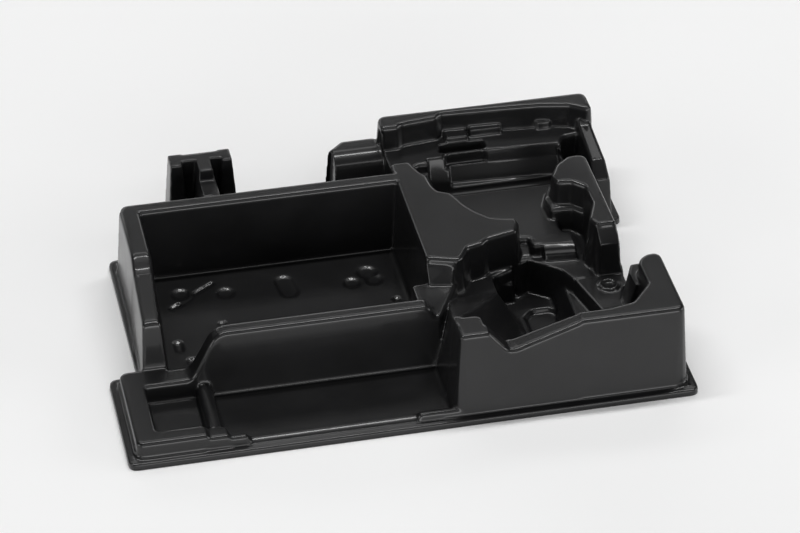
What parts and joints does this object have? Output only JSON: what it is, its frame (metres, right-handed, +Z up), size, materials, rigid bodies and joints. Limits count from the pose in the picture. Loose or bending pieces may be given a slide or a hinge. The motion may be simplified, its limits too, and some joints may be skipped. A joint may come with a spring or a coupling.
{
  "type": "tool case insert",
  "caption": "Thin thermoformed tray for a tool case, with open compartments, a divider and a shaped nest for a power tool.",
  "frame": {"origin": "centre of the rim in plan, at the rim's bottom, which is the plane the tray rests on", "axes": "+X along the long side to the right, +Y to the back, +Z up out of the compartments"},
  "size_m": [0.376, 0.281, 0.065],
  "materials": {
    "tray_plastic": "smooth satin black sheet plastic, drawn and left uncoated"
  },
  "bodies": {
    "root": {"case_insert": "tray_plastic"}
  },
  "joints": []
}
